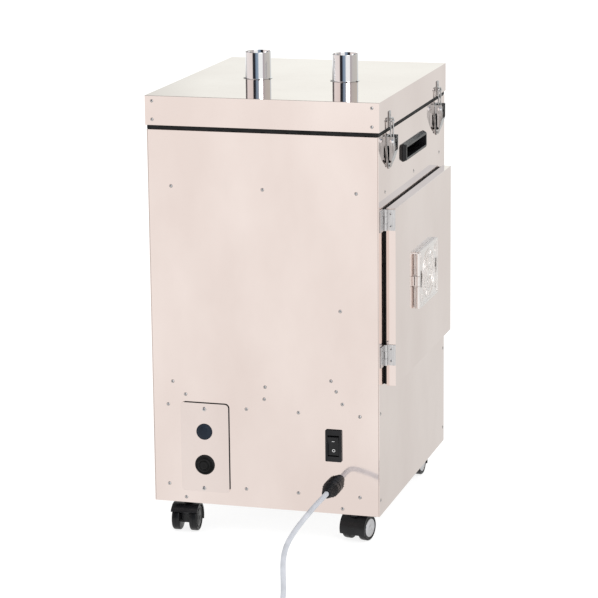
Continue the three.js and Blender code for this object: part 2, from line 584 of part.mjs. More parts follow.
// ---------------------------------------------------------------- casters
// Turn is the direction, in degrees from +X, in which the axle trails behind the stem.
function caster(name, x, y, turn) {
  const { wheelRadius, trail, halfWidth } = CASTER;
  const rim = 17; // each wheel's width
  const axle = wheelRadius + 0.2;

  // Hood: a curved shell over the wheels with a web between them, and the stem on top.
  const shell = new THREE.Shape();
  const outer = wheelRadius + 4.6;
  shell.absarc(0, 0, outer, THREE.MathUtils.degToRad(35), THREE.MathUtils.degToRad(200), false);
  shell.lineTo(-4, 0);
  shell.lineTo(-4, -9);
  shell.lineTo(6, -9);
  shell.lineTo(10, 8);
  shell.closePath();
  const full = new THREE.ExtrudeGeometry(shell, { depth: 53, bevelEnabled: false, curveSegments: 9 });
  full.translate(0, 0, -26.5).rotateX(Math.PI / 2).translate(trail, 0, axle);
  const wheelRooms = [-1, 1].map((s) => rod('y', wheelRadius + 1.2,
    s > 0 ? halfWidth - rim - 0.8 : -halfWidth - 2, s > 0 ? halfWidth + 2 : -halfWidth + rim + 0.8,
    trail, axle, 20));
  const hood = join(
    cut(full, ...wheelRooms, rod('y', 4.4, -30, 30, trail, axle, 10), block(-60, 60, -40, 40, 55.2, 70)),
    rod('z', 9, 50, 61.2, 0, 0, 12), rod('z', 4.8, 60, 74, 0, 0, 10));
  const radians = THREE.MathUtils.degToRad(turn);
  add(`${name}_caster_hood`, hood, blackPlastic(), x, y, 0, radians);

  // Wheel pair on its axle: two tyres with recessed hubs, one turned body.
  const edge = -halfWidth + rim;
  const profile = [[-halfWidth + 1.2, 0], [-halfWidth + 1.2, 17.5], [-halfWidth, 18], [-halfWidth, 22.5],
    [-halfWidth + 2.5, wheelRadius], [edge - 1.5, wheelRadius], [edge, wheelRadius - 1.5], [edge, 3.6]];
  const mirrored = profile.slice().reverse().map(([a, r]) => [-a, r]);
  const wheels = turnedAlongX([...profile, ...mirrored], 22).rotateZ(Math.PI / 2);
  const offset = new THREE.Vector2(trail, 0).rotateAround(new THREE.Vector2(0, 0), radians);
  add(`${name}_caster_wheels`, wheels, blackRubber(), x + offset.x, y + offset.y, axle, radians);
}

cabinetSheets();
floorsAndFrames();
chamberFittings();
serviceCover();
rockerSwitch();
mainsLead();
pocketHandle();
toggleLatch('left', -LATCH_X);
toggleLatch('right', LATCH_X);
door();
hinges();
lid();
caster('front_left', -CASTER.x, -CASTER.y, -12.5);
caster('rear_left', -CASTER.x, CASTER.y, 183);
caster('front_right', CASTER.x, -CASTER.y, 176);
caster('rear_right', CASTER.x, CASTER.y, 152);

export default smoker;
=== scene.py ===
"""Electric cabinet smoker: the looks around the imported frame. Metres, +Z up, front = -Y."""
import json
import math

import bmesh
import bpy
from mathutils import Matrix, Vector

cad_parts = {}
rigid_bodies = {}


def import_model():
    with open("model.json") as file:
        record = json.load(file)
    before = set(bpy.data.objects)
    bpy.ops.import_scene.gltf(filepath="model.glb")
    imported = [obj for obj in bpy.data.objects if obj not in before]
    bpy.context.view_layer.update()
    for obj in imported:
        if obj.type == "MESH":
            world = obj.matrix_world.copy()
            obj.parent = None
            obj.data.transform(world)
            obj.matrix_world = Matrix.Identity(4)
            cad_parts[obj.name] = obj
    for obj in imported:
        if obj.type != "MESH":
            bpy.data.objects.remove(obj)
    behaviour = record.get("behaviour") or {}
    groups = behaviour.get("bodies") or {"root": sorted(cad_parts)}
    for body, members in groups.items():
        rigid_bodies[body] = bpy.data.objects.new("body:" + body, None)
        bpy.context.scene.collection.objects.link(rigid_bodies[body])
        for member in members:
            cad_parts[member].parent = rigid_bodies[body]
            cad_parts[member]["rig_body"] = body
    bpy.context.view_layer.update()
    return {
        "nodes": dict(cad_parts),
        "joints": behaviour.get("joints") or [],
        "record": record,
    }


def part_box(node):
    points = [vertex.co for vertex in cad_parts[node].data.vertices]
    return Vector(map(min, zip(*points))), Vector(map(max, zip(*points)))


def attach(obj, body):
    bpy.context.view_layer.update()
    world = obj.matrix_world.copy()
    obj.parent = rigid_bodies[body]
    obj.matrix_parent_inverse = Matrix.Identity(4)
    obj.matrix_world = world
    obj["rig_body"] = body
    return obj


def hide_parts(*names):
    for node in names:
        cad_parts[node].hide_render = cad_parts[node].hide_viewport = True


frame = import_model()

MM = 0.001
NODE_SLOT = {part["node"]: part["material_slot"] for part in frame["record"]["subparts"]}
NODE_BODY = {node: piece["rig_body"] for node, piece in frame["nodes"].items()}
JOINT = {joint["name"]: joint for joint in frame["joints"]}
CORNERS = ("front_left", "rear_left", "front_right", "rear_right")

BODY_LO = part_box("front_panel")[0]
BODY_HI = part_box("rear_panel")[1]
LID_LO, LID_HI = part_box("lid_shell")
DOOR_LO, DOOR_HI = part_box("door_panel")


# ---------------------------------------------------------------- camera, light and floor
def make_camera():
    place = Vector((-4.7926, -1.3866, 1.5737))
    target = Vector((0, 0.0085, 0.4133))
    roll = math.radians(-0.611)
    data = bpy.data.cameras.new("camera")
    data.sensor_width = 36
    data.lens = 155.11
    data.clip_end = 100
    camera = bpy.data.objects.new("camera", data)
    turn = (target - place).to_track_quat("-Z", "Y").to_matrix().to_4x4()
    camera.matrix_world = Matrix.Translation(place) @ turn @ Matrix.Rotation(roll, 4, "Z")
    bpy.context.scene.collection.objects.link(camera)
    bpy.context.scene.camera = camera


def make_world():
    """A white room for the eye. Its reflection has a few darker upright bands above the horizon."""
    world = bpy.data.worlds.new("studio")
    world.use_nodes = True
    bpy.context.scene.world = world
    tree = world.node_tree
    tree.nodes.clear()

    def node(kind, **settings):
        made = tree.nodes.new(kind)
        for key, value in settings.items():
            setattr(made, key, value)
        return made

    def math_node(operation, first, second=None):
        made = node("ShaderNodeMath", operation=operation)
        for socket, value in zip(made.inputs, (first, second)):
            if isinstance(value, (int, float)):
                socket.default_value = value
            elif value is not None:
                tree.links.new(value, socket)
        return made.outputs[0]

    def bands(angle, stops):
        made = node("ShaderNodeValToRGB")
        made.color_ramp.interpolation = "LINEAR"
        elements = made.color_ramp.elements
        while len(elements) > 1:
            elements.remove(elements[-1])
        for index, (degrees, colour) in enumerate(stops):
            element = elements[0] if index == 0 else elements.new(degrees / 360)
            element.position = degrees / 360
            element.color = (*colour, 1)
        tree.links.new(angle, made.inputs["Fac"])
        return made.outputs["Color"]

    where = node("ShaderNodeTexCoord")
    axes = node("ShaderNodeSeparateXYZ")
    tree.links.new(where.outputs["Generated"], axes.inputs[0])
    angle = math_node("ARCTAN2", axes.outputs["Y"], axes.outputs["X"])
    turn = math_node("FRACT", math_node("ADD", math_node("DIVIDE", angle, 2 * math.pi), 1.0))
    strength = 1.25
    white, grey, black = (0.845, 0.84, 0.835), (0.50, 0.47, 0.45), (0.02, 0.02, 0.025)
    back, blue_grey = (0.79, 0.82, 0.79), (0.60, 0.66, 0.70)
    upper = bands(turn, (
        (0, back), (18, back), (26, (0.10, 0.09, 0.09)), (66, (0.13, 0.12, 0.12)),
        (76, (0.78, 0.72, 0.70)), (142, (0.74, 0.65, 0.62)), (148, black), (168, black),
        (176, (0.18, 0.24, 0.32)), (196, (0.28, 0.34, 0.42)), (202, white), (236, white),
        (242, (0.38, 0.33, 0.35)), (262, grey), (300, (0.52, 0.49, 0.45)),
        (330, (0.52, 0.49, 0.45)), (336, blue_grey), (352, blue_grey), (357, back)))
    front_side = (0.65, 0.65, 0.64)
    lower = bands(turn, (
        (0, (0.74, 0.74, 0.72)), (40, white), (200, white), (290, white), (318, front_side),
        (350, front_side)))
    rise = node("ShaderNodeMapRange", interpolation_type="SMOOTHSTEP")
    rise.inputs["From Min"].default_value = -0.02
    rise.inputs["From Max"].default_value = 0.04
    tree.links.new(axes.outputs["Z"], rise.inputs["Value"])
    depth = node("ShaderNodeMapRange")
    depth.inputs["From Min"].default_value = -0.34
    depth.inputs["From Max"].default_value = -0.12
    depth.inputs["To Min"].default_value = 0.905
    tree.links.new(axes.outputs["Z"], depth.inputs["Value"])
    ground = node("ShaderNodeVectorMath", operation="SCALE")
    tree.links.new(lower, ground.inputs[0])
    tree.links.new(depth.outputs[0], ground.inputs["Scale"])
    sphere = node("ShaderNodeMix", data_type="RGBA")
    tree.links.new(rise.outputs[0], sphere.inputs["Factor"])
    tree.links.new(ground.outputs[0], sphere.inputs["A"])
    tree.links.new(upper, sphere.inputs["B"])

    seen = node("ShaderNodeLightPath")
    reflected = node("ShaderNodeMix", data_type="RGBA")
    reflected.inputs["A"].default_value = (0.8, 0.8, 0.8, 1)
    tree.links.new(seen.outputs["Is Glossy Ray"], reflected.inputs["Factor"])
    tree.links.new(sphere.outputs["Result"], reflected.inputs["B"])
    background = node("ShaderNodeBackground")
    background.inputs["Strength"].default_value = strength
    output = node("ShaderNodeOutputWorld")
    tree.links.new(reflected.outputs["Result"], background.inputs["Color"])
    tree.links.new(background.outputs[0], output.inputs["Surface"])


def soft_light(name, place, target, size, power):
    data = bpy.data.lights.new(name, "AREA")
    data.shape = "DISK"
    data.size = size
    data.energy = power
    light = bpy.data.objects.new(name, data)
    light.location = place
    light.rotation_mode = "QUATERNION"
    light.rotation_quaternion = (Vector(target) - Vector(place)).to_track_quat("-Z", "Y")
    bpy.context.scene.collection.objects.link(light)


def make_floor():
    bm = bmesh.new()
    bmesh.ops.create_circle(bm, cap_ends=True, segments=96, radius=14)
    mesh = bpy.data.meshes.new("floor")
    bm.to_mesh(mesh)
    bm.free()
    floor = bpy.data.objects.new("floor", mesh)
    bpy.context.scene.collection.objects.link(floor)
    paint = bpy.data.materials.new("pale_floor")
    paint.use_nodes = True
    shader = paint.node_tree.nodes["Principled BSDF"]
    shader.inputs["Base Color"].default_value = (0.3, 0.3, 0.3, 1)
    shader.inputs["Roughness"].default_value = 0.9
    shader.inputs["Emission Color"].default_value = (1, 1, 1, 1)
    shader.inputs["Emission Strength"].default_value = 0.82
    mesh.materials.append(paint)
    floor.visible_glossy = False


# ---------------------------------------------------------------- materials
class Finish:
    """A procedural material that is built from noise in the frame's own metres."""

    def __init__(self, name, metallic=0.0):
        self.material = bpy.data.materials.new(name)
        self.material.use_nodes = True
        self.tree = self.material.node_tree
        self.shader = self.tree.nodes["Principled BSDF"]
        self.shader.inputs["Metallic"].default_value = metallic
        self.where = self.tree.nodes.new("ShaderNodeTexCoord").outputs["Object"]

    def noise(self, scale, stretch=(1, 1, 1), detail=3.0):
        mapping = self.tree.nodes.new("ShaderNodeMapping")
        mapping.inputs["Scale"].default_value = stretch
        self.tree.links.new(self.where, mapping.inputs["Vector"])
        made = self.tree.nodes.new("ShaderNodeTexNoise")
        made.inputs["Scale"].default_value = scale
        made.inputs["Detail"].default_value = detail
        self.tree.links.new(mapping.outputs[0], made.inputs["Vector"])
        return made.outputs["Fac"]

    def colour(self, source, dark, light, low=0.35, high=0.65):
        ramp = self.tree.nodes.new("ShaderNodeValToRGB")
        first, last = ramp.color_ramp.elements
        first.position, last.position = low, high
        first.color, last.color = (*dark, 1), (*light, 1)
        self.tree.links.new(source, ramp.inputs["Fac"])
        self.tree.links.new(ramp.outputs["Color"], self.shader.inputs["Base Color"])
        return self

    def roughness(self, source, low, high):
        spread = self.tree.nodes.new("ShaderNodeMapRange")
        spread.inputs["From Min"].default_value = 0.3
        spread.inputs["From Max"].default_value = 0.7
        spread.inputs["To Min"].default_value = low
        spread.inputs["To Max"].default_value = high
        self.tree.links.new(source, spread.inputs["Value"])
        self.tree.links.new(spread.outputs[0], self.shader.inputs["Roughness"])
        return self

    def bump(self, source, height, strength=1.0):
        made = self.tree.nodes.new("ShaderNodeBump")
        made.inputs["Distance"].default_value = height
        made.inputs["Strength"].default_value = strength
        self.tree.links.new(source, made.inputs["Height"])
        self.tree.links.new(made.outputs[0], self.shader.inputs["Normal"])
        return self


def sheet_steel(name, dark, light, rough, wave):
    finish = Finish(name, metallic=1.0)
    finish.colour(finish.noise(5.0, (1, 1, 0.6), detail=4), dark, light)
    finish.roughness(finish.noise(38.0, detail=5), *rough)
    return finish.bump(finish.noise(4.5, detail=1), wave).material


def brushed(name, dark, light, rough, stretch):
    finish = Finish(name, metallic=1.0)
    streaks = finish.noise(420.0, stretch, detail=4)
    finish.colour(streaks, dark, light)
    finish.roughness(streaks, *rough)
    return finish.bump(streaks, 0.00004, 0.5).material


def moulded(name, dark, light, rough, grain, depth, gloss=0.2):
    finish = Finish(name)
    finish.shader.inputs["Specular IOR Level"].default_value = gloss
    finish.colour(finish.noise(30.0, detail=5), dark, light)
    finish.roughness(finish.noise(90.0), *rough)
    return finish.bump(finish.noise(grain, detail=2), depth, 0.6).material


def heated():
    finish = Finish("heat_dulled_tube", metallic=1.0)
    finish.colour(finish.noise(22.0, detail=6), (0.16, 0.12, 0.10), (0.42, 0.40, 0.40))
    finish.roughness(finish.noise(80.0), 0.35, 0.6)
    return finish.bump(finish.noise(900.0), 0.00003).material


POLISHED = sheet_steel("polished_steel", (0.800, 0.690, 0.645), (0.875, 0.770, 0.725), (0.03, 0.07), 0.0004)
# The cover's finish: the polished sheet's tone painted a little darker, as painted shade for the cover
# plate's slightly different reflection.
COVER_SHADED = sheet_steel("cover_steel_shaded", (0.765, 0.665, 0.625), (0.835, 0.735, 0.695), (0.04, 0.09), 0.0003)
CHROME = sheet_steel("bright_chrome", (0.78, 0.78, 0.79), (0.88, 0.88, 0.89), (0.03, 0.09), 0.00002)
CAST = sheet_steel("cast_relief_metal", (0.86, 0.82, 0.80), (0.95, 0.92, 0.90), (0.30, 0.45), 0.00003)
CAP = sheet_steel("hub_cap_metal", (0.58, 0.58, 0.60), (0.74, 0.74, 0.76), (0.18, 0.30), 0.00002)
SATIN = brushed("satin_steel", (0.56, 0.55, 0.54), (0.72, 0.71, 0.70), (0.24, 0.38), (1, 1, 0.05))
HINGE = brushed("hinge_steel", (0.56, 0.55, 0.55), (0.72, 0.71, 0.71), (0.16, 0.30), (1, 1, 0.08))
LATCH = brushed("latch_steel", (0.34, 0.34, 0.34), (0.60, 0.60, 0.60), (0.10, 0.25), (1, 1, 0.08))
HEATED = heated()
PLASTIC = moulded("black_plastic", (0.005, 0.005, 0.006), (0.013, 0.013, 0.015),
                  (0.22, 0.38), 1400.0, 0.00004, 0.3)
RUBBER = moulded("black_rubber", (0.008, 0.008, 0.008), (0.018, 0.018, 0.019),
                 (0.5, 0.75), 900.0, 0.00005, 0.15)
BLUE_BLACK = moulded("blue_black_rubber", (0.006, 0.011, 0.020), (0.016, 0.026, 0.042),
                     (0.35, 0.55), 900.0, 0.00004)
TYRE = moulded("wheel_plastic", (0.004, 0.004, 0.005), (0.012, 0.012, 0.013),
               (0.22, 0.4), 800.0, 0.00004, 0.25)
SHEATH = moulded("grey_sheath", (0.50, 0.52, 0.56), (0.62, 0.64, 0.69), (0.38, 0.52), 1200.0, 0.00003, 0.4)
MARK = moulded("white_mark", (0.70, 0.70, 0.70), (0.85, 0.85, 0.85), (0.4, 0.5), 900.0, 0.00001, 0.4)
# Painted shade: a near-black finish for rivet dimples and rims, screw crosses, the cover's edge gap and the
# latch slots.
SHADOW = moulded("painted_shade", (0.006, 0.006, 0.006), (0.016, 0.016, 0.016),
                 (0.5, 0.7), 900.0, 0.00001, 0.05)

SLOT_FINISH = {
    "polished_sheet": POLISHED, "satin_sheet": SATIN, "heater_tube": HEATED, "bright_wire": CHROME,
    "chimney_tube": CHROME, "cast_plate": CAST, "hinge_metal": HINGE, "latch_metal": LATCH,
    "black_plastic": PLASTIC, "black_rubber": RUBBER, "caster_wheel": TYRE, "cord_sheath": SHEATH,
}


# ---------------------------------------------------------------- mesh helpers
def turned(at, axis=(0, 0, 1), twist=0.0):
    """Takes local Z to the axis, at a place in the frame."""
    turn = Vector(axis).to_track_quat("Z", "Y").to_matrix().to_4x4()
    return Matrix.Translation(Vector(at)) @ turn @ Matrix.Rotation(twist, 4, "Z")


def add_lathe(bm, profile, matrix, segments=48, finish=0, closed=False):
    """A body turned about local Z from (radius, height) pairs."""
    rings = []
    for radius, height in profile:
        if radius < 1e-7:
            rings.append([bm.verts.new(matrix @ Vector((0, 0, height)))])
            continue
        rings.append([bm.verts.new(matrix @ Vector((
            radius * math.cos(2 * math.pi * k / segments),
            radius * math.sin(2 * math.pi * k / segments), height))) for k in range(segments)])
    pairs = zip(rings, rings[1:] + rings[:1]) if closed else zip(rings, rings[1:])
    for a, b in pairs:
        for k in range(segments):
            n = (k + 1) % segments
            corners = (a[0], b[k], b[n]) if len(a) == 1 else (a[k], b[0], a[n]) if len(b) == 1 \
                else (a[k], b[k], b[n], a[n])
            bm.faces.new(corners).material_index = finish


def add_prism(bm, outline, depth, matrix, finish=0):
    """An outline in local X and Y that grows along local Z."""
    low = [bm.verts.new(matrix @ Vector((x, y, 0))) for x, y in outline]
    high = [bm.verts.new(matrix @ Vector((x, y, depth))) for x, y in outline]
    faces = [low[::-1], high]
    for k in range(len(outline)):
        n = (k + 1) % len(outline)
        faces.append((low[k], low[n], high[n], high[k]))
    for corners in faces:
        bm.faces.new(corners).material_index = finish


def add_box(bm, lo, hi, matrix=Matrix(), finish=0):
    outline = ((lo[0], lo[1]), (hi[0], lo[1]), (hi[0], hi[1]), (lo[0], hi[1]))
    add_prism(bm, outline, hi[2] - lo[2], matrix @ Matrix.Translation((0, 0, lo[2])), finish)


def add_wire(bm, points, radius, sides=14, finish=0, looped=False):
    """A round wire along the points."""
    points = [Vector(p) for p in points]
    count = len(points)
    rings = []
    normal = None
    for k, point in enumerate(points):
        ahead = points[(k + 1) % count] if looped else points[min(k + 1, count - 1)]
        behind = points[k - 1] if looped else points[max(k - 1, 0)]
        along = (ahead - behind).normalized()
        normal = along.orthogonal() if normal is None else normal - along * normal.dot(along)
        normal.normalize()
        side = along.cross(normal)
        rings.append([bm.verts.new(point + radius * (
            normal * math.cos(2 * math.pi * s / sides) + side * math.sin(2 * math.pi * s / sides)))
            for s in range(sides)])
    for a, b in zip(rings, rings[1:] + rings[:1] if looped else rings[1:]):
        for s in range(sides):
            n = (s + 1) % sides
            bm.faces.new((a[s], a[n], b[n], b[s])).material_index = finish
    if not looped:
        bm.faces.new(rings[0][::-1]).material_index = finish
        bm.faces.new(rings[-1]).material_index = finish


def rounded_path(corners, radius, steps=6):
    """The line through the corners, with each inner corner as an arc-like bend."""
    corners = [Vector(c) for c in corners]
    points = [corners[0]]
    for before, corner, after in zip(corners, corners[1:], corners[2:]):
        start = corner + (before - corner).normalized() * radius
        end = corner + (after - corner).normalized() * radius
        for k in range(steps + 1):
            t = k / steps
            points.append(start * (1 - t) ** 2 + corner * 2 * t * (1 - t) + end * t ** 2)
    return points + [corners[-1]]


def rounded_outline(half_width, half_height, radius, steps=6):
    points = []
    for quarter, (sx, sy) in enumerate(((1, 1), (-1, 1), (-1, -1), (1, -1))):
        for k in range(steps + 1):
            angle = math.pi / 2 * (quarter + k / steps)
            points.append((sx * (half_width - radius) + radius * math.cos(angle),
                           sy * (half_height - radius) + radius * math.sin(angle)))
    return points


def make_piece(name, bm, body, finishes, replaced=(), bevel=0.0, angle=32.0, segments=2):
    """Turns a bmesh into a piece that rides on its body, smooth except along its sharp edges."""
    bmesh.ops.recalc_face_normals(bm, faces=bm.faces)
    mesh = bpy.data.meshes.new(name)
    bm.to_mesh(mesh)
    bm.free()
    for finish in finishes:
        mesh.materials.append(finish)
    for face in mesh.polygons:
        face.use_smooth = True
    piece = bpy.data.objects.new(name, mesh)
    bpy.context.scene.collection.objects.link(piece)
    if bevel:
        modifier = piece.modifiers.new("soft_edges", "BEVEL")
        modifier.width = bevel
        modifier.segments = segments
        modifier.limit_method = "ANGLE"
        modifier.angle_limit = math.radians(angle)
        flat = piece.modifiers.new("flat_faces", "WEIGHTED_NORMAL")
        flat.keep_sharp = True
    else:
        mesh.set_sharp_from_angle(angle=math.radians(angle))
    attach(piece, body)
    if replaced:
        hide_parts(*replaced)
    return piece


def dress(node, bevel=0.5 * MM, finish=None, segments=2):
    """A copy of a CAD node with its flat faces made whole and its edges softened."""
    bm = bmesh.new()
    bm.from_mesh(frame["nodes"][node].data)
    bmesh.ops.remove_doubles(bm, verts=bm.verts, dist=1e-5)
    bmesh.ops.dissolve_limit(bm, angle_limit=math.radians(0.5), verts=bm.verts, edges=bm.edges)
    slot = NODE_SLOT[node]
    return make_piece(f"{node}_form", bm, NODE_BODY[node], [finish or SLOT_FINISH[slot]], (node,),
                      bevel=bevel, segments=segments)


def middle(node):
    lo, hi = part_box(node)
    return (lo + hi) / 2


def add_rivet(bm, at, axis, radius=2.8 * MM):
    """A blind rivet: a low dome with the dimple that the mandrel leaves. The dimple and a thin ring round the
    rim are painted dark as shade.
    """
    profile = [(r * radius, h * radius) for r, h in (
        (1.0, -0.02), (1.0, 0.06), (0.9, 0.18), (0.68, 0.29), (0.42, 0.34), (0.34, 0.33),
        (0.30, 0.14), (0, 0.12))]
    matrix = turned(at, axis)
    add_lathe(bm, profile, matrix, segments=18)
    # Painted shade: the dimple and a thin ring round the rim take the dark finish.
    hole = [(0.40 * radius, 0.28 * radius), (0.38 * radius, 0.37 * radius), (0, 0.37 * radius)]
    add_lathe(bm, hole, matrix, segments=12, finish=1)
    shade = [(1.2 * radius, -0.02 * radius), (1.16 * radius, 0.04 * radius), (0.98 * radius, 0.05 * radius)]
    add_lathe(bm, shade, matrix, segments=24, finish=1)


def add_screw(bm, at, axis, radius=3.4 * MM, twist=0.5, cross_shade_finish=1):
    """A pan head with its cross painted dark as the shade in its recess."""
    profile = [(r * radius, h * radius) for r, h in (
        (1.0, -0.02), (1.0, 0.16), (0.93, 0.34), (0.7, 0.46), (0.35, 0.5), (0, 0.51))]
    matrix = turned(at, axis, twist)
    add_lathe(bm, profile, matrix, segments=24)
    arm, half, top = 0.58 * radius, 0.13 * radius, 0.53 * radius
    add_box(bm, (-arm, -half, 0.3 * radius), (arm, half, top), matrix, cross_shade_finish)
    add_box(bm, (-half, -arm, 0.3 * radius), (half, arm, top), matrix, cross_shade_finish)


# ---------------------------------------------------------------- mains lead
GLAND_LO, GLAND_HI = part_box("cable_gland")
COIL_LO, COIL_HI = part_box("mains_cord_coil")
CORD_DIAMETER = 0.010
LEAD_ROUTE = [
    (-0.3183, -0.134, 0.116), (-0.340, -0.1334, 0.1152), (-0.364, -0.1309, 0.1129),
    (-0.388, -0.1276, 0.109), (-0.412, -0.1242, 0.104), (-0.436, -0.1206, 0.0986),
    (-0.460, -0.1174, 0.0928), (-0.484, -0.1148, 0.0862), (-0.508, -0.1132, 0.0786),
    (-0.532, -0.1142, 0.0698), (-0.556, -0.1184, 0.0596), (-0.580, -0.125, 0.048),
    (-0.604, -0.1326, 0.0354), (-0.628, -0.1392, 0.0228), (-0.652, -0.1432, 0.0116),
    (-0.6792, -0.145, 0.0052),
]


def smooth(t):
    t = min(max(t, 0.0), 1.0)
    return t * t * (3 - 2 * t)


def coil_points():
    """The lead's wound length: angle in degrees, radius and height of each stage, eased between."""
    centre = (COIL_LO + COIL_HI) / 2
    outer = (COIL_HI.x - COIL_LO.x) / 2 - 0.0053
    inner = outer - CORD_DIAMETER - 0.0003
    low, high = 0.0052, 0.0156
    stages = [
        (85, outer, low), (350, outer, low), (410, inner, low), (650, inner, low), (710, inner, high),
        (950, inner, high), (1010, outer, high), (1260, outer, high),
    ]
    points = []
    step = 12
    for (a0, r0, z0), (a1, r1, z1) in zip(stages, stages[1:]):
        count = max(1, round((a1 - a0) / step))
        for k in range(count):
            t = smooth(k / count)
            angle = math.radians(a0 + (a1 - a0) * k / count)
            radius = r0 + (r1 - r0) * t
            points.append((centre.x + radius * math.cos(angle), centre.y + radius * math.sin(angle),
                           z0 + (z1 - z0) * t))
    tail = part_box("mains_plug")[1].y
    x = centre.x - outer
    plug_z = middle("mains_plug").z
    points.append((x, centre.y, high))
    points.append((x, centre.y + (tail - centre.y) * 0.5, (high + plug_z) / 2))
    points.append((x, tail + 0.0004, plug_z))
    return points


def mains_lead():
    curve = bpy.data.curves.new("mains_lead", "CURVE")
    curve.dimensions = "3D"
    curve.bevel_depth = CORD_DIAMETER / 2
    curve.bevel_resolution = 5
    curve.resolution_u = 5
    curve.use_fill_caps = True
    route = LEAD_ROUTE + coil_points()
    spline = curve.splines.new("BEZIER")
    spline.bezier_points.add(len(route) - 1)
    for knot, place in zip(spline.bezier_points, route):
        knot.co = place
        knot.handle_left_type = knot.handle_right_type = "AUTO"
    curve.materials.append(SHEATH)
    lead = bpy.data.objects.new("mains_lead", curve)
    bpy.context.scene.collection.objects.link(lead)
    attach(lead, "cabinet")
    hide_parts("mains_cord", "mains_cord_coil")
    return lead


def coil_tie():
    """A hook-and-loop strap around the coil's strands, with its loose end lapped over."""
    centre = (COIL_LO + COIL_HI) / 2
    outer = (COIL_HI.x - COIL_LO.x) / 2
    middle_radius = outer - 0.0104
    half_height = (COIL_HI.z - 0.0002) / 2
    bm = bmesh.new()
    angle = math.radians(140)
    out = Vector((math.cos(angle), math.sin(angle), 0))
    along = Vector((-out.y, out.x, 0))
    matrix = Matrix.Translation(centre + out * middle_radius) @ Matrix((
        (out.x, 0, along.x, 0), (out.y, 0, along.y, 0), (0, 1, 0, 0), (0, 0, 0, 1)))
    matrix = matrix @ Matrix.Translation((0, 0.0002, -0.007))
    outside = rounded_outline(0.0112, half_height + 0.0008, 0.0046)
    inside = rounded_outline(0.0102, half_height - 0.0002, 0.0038)
    width = 0.014
    rings = []
    for outline, height in ((outside, 0), (outside, width), (inside, width), (inside, 0)):
        rings.append([bm.verts.new(matrix @ Vector((x, y, height))) for x, y in outline])
    for a, b in zip(rings, rings[1:] + rings[:1]):
        for k in range(len(a)):
            n = (k + 1) % len(a)
            bm.faces.new((a[k], a[n], b[n], b[k]))
    flap = matrix @ Matrix.Translation((0.0114, -0.001, 0.0005))
    add_box(bm, (0, -0.006, 0), (0.0009, 0.007, width - 0.001), flap)
    return make_piece("coil_tie", bm, "cabinet", [RUBBER], bevel=0.25 * MM)


def mains_plug():
    """A moulded two-pin plug: ribbed tail, waisted body with a finger grip, and two round pins."""
    lo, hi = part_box("mains_plug")
    centre = (lo + hi) / 2
    start = hi.y
    grip = 17.0 * MM
    profile = [(0, 0), (5.6, 0), (6.2, 0.5), (6.2, 3.6), (5.2, 4.1), (5.2, 6.4), (6.8, 6.9), (6.8, 10.6),
               (5.8, 11.1), (5.8, 13.4), (8.2, 14.2), (10.5, 18), (13.2, 23), (15.6, 27), (16.8, 31),
               (17.0, 36), (16.8, 42), (16.1, 44.6), (14.6, 46), (0, 46)]
    bm = bmesh.new()
    along = turned((centre.x, start, centre.z), (0, -1, 0))
    add_lathe(bm, [(r * MM, h * MM) for r, h in profile], along, segments=56)
    for k in range(5):
        ring = [(grip - 0.2 * MM, 0), (grip + 0.3 * MM, 0.3 * MM), (grip + 0.3 * MM, 0.9 * MM),
                (grip - 0.2 * MM, 1.2 * MM)]
        height = (32 + k * 2.1) * MM
        add_lathe(bm, [(r, h + height) for r, h in ring], along, segments=56, closed=True)
    pin = [(0, 45), (2.4, 45), (2.4, 55), (2.4, 63.4), (1.9, 64.6), (1.0, 65), (0, 65)]
    sleeve = [(2.42, 45.8), (2.55, 45.8), (2.55, 55), (2.42, 55)]
    for across in (-9.5 * MM, 9.5 * MM):
        place = turned((centre.x + across, start, centre.z), (0, -1, 0))
        add_lathe(bm, [(r * MM, h * MM) for r, h in pin], place, segments=24, finish=1)
        add_lathe(bm, [(r * MM, h * MM) for r, h in sleeve], place, segments=24, closed=True)
    return make_piece("mains_plug_form", bm, "cabinet", [SHEATH, CHROME], ("mains_plug",))


def cable_gland():
    """A ribbed clamping nut and collar, then a segmented strain relief that tapers to the lead."""
    lo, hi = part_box("cable_gland")
    wall = BODY_LO.x
    y, z = (lo.y + hi.y) / 2, (lo.z + hi.z) / 2
    radius = (hi.z - lo.z) / 2
    out = turned((wall, y, z), (-1, 0, 0))
    length = (wall - lo.x) / MM + 0.5
    big = radius / MM
    bm = bmesh.new()
    add_lathe(bm, [(r * MM, h * MM) for r, h in (
        (0, -11), (big - 2, -11), (big - 2, -2), (9.7, -1.8), (9.7, 0.3), (big, 0.3), (big, 5.2),
        (big - 0.6, 6), (big - 2.2, 6.2), (big - 2.2, 8), (big - 1.2, 8.2), (big - 1, 9), (big - 1, 20.6),
        (big - 1.6, 22), (big - 2.6, 23), (0, 23))], out, segments=64)
    flutes = 20
    for k in range(flutes):
        turn = out @ Matrix.Rotation(2 * math.pi * k / flutes, 4, "Z")
        add_box(bm, ((big - 1.6) * MM, -0.9 * MM, 8.6 * MM), ((big - 0.2) * MM, 0.9 * MM, 20.4 * MM), turn)
    ribs = 5
    pitch = (length - 23.5) / ribs
    relief = [(0, 22)]
    for k in range(ribs):
        near = 23 + k * pitch
        size = big - 2.6 - (big - 2.6 - 9.6) * k / (ribs - 1)
        relief += [(size - 1.7, near), (size - 1.7, near + 1.1), (size - 0.3, near + 1.4), (size, near + 2),
                   (size, near + pitch - 0.9), (size - 0.4, near + pitch - 0.3), (size - 1.7, near + pitch)]
    relief += [(7.4, length), (5.6, length - 0.8), (0, length - 1.5)]
    add_lathe(bm, [(r * MM, h * MM) for r, h in relief], out, segments=64)
    return make_piece("cable_gland_form", bm, "cabinet", [PLASTIC], ("cable_gland",),
                      bevel=0.15 * MM)


# ---------------------------------------------------------------- rivets and screws
LEFT, RIGHT, FRONT, REAR, UP = (-1, 0, 0), (1, 0, 0), (0, -1, 0), (0, 1, 0), (0, 0, 1)


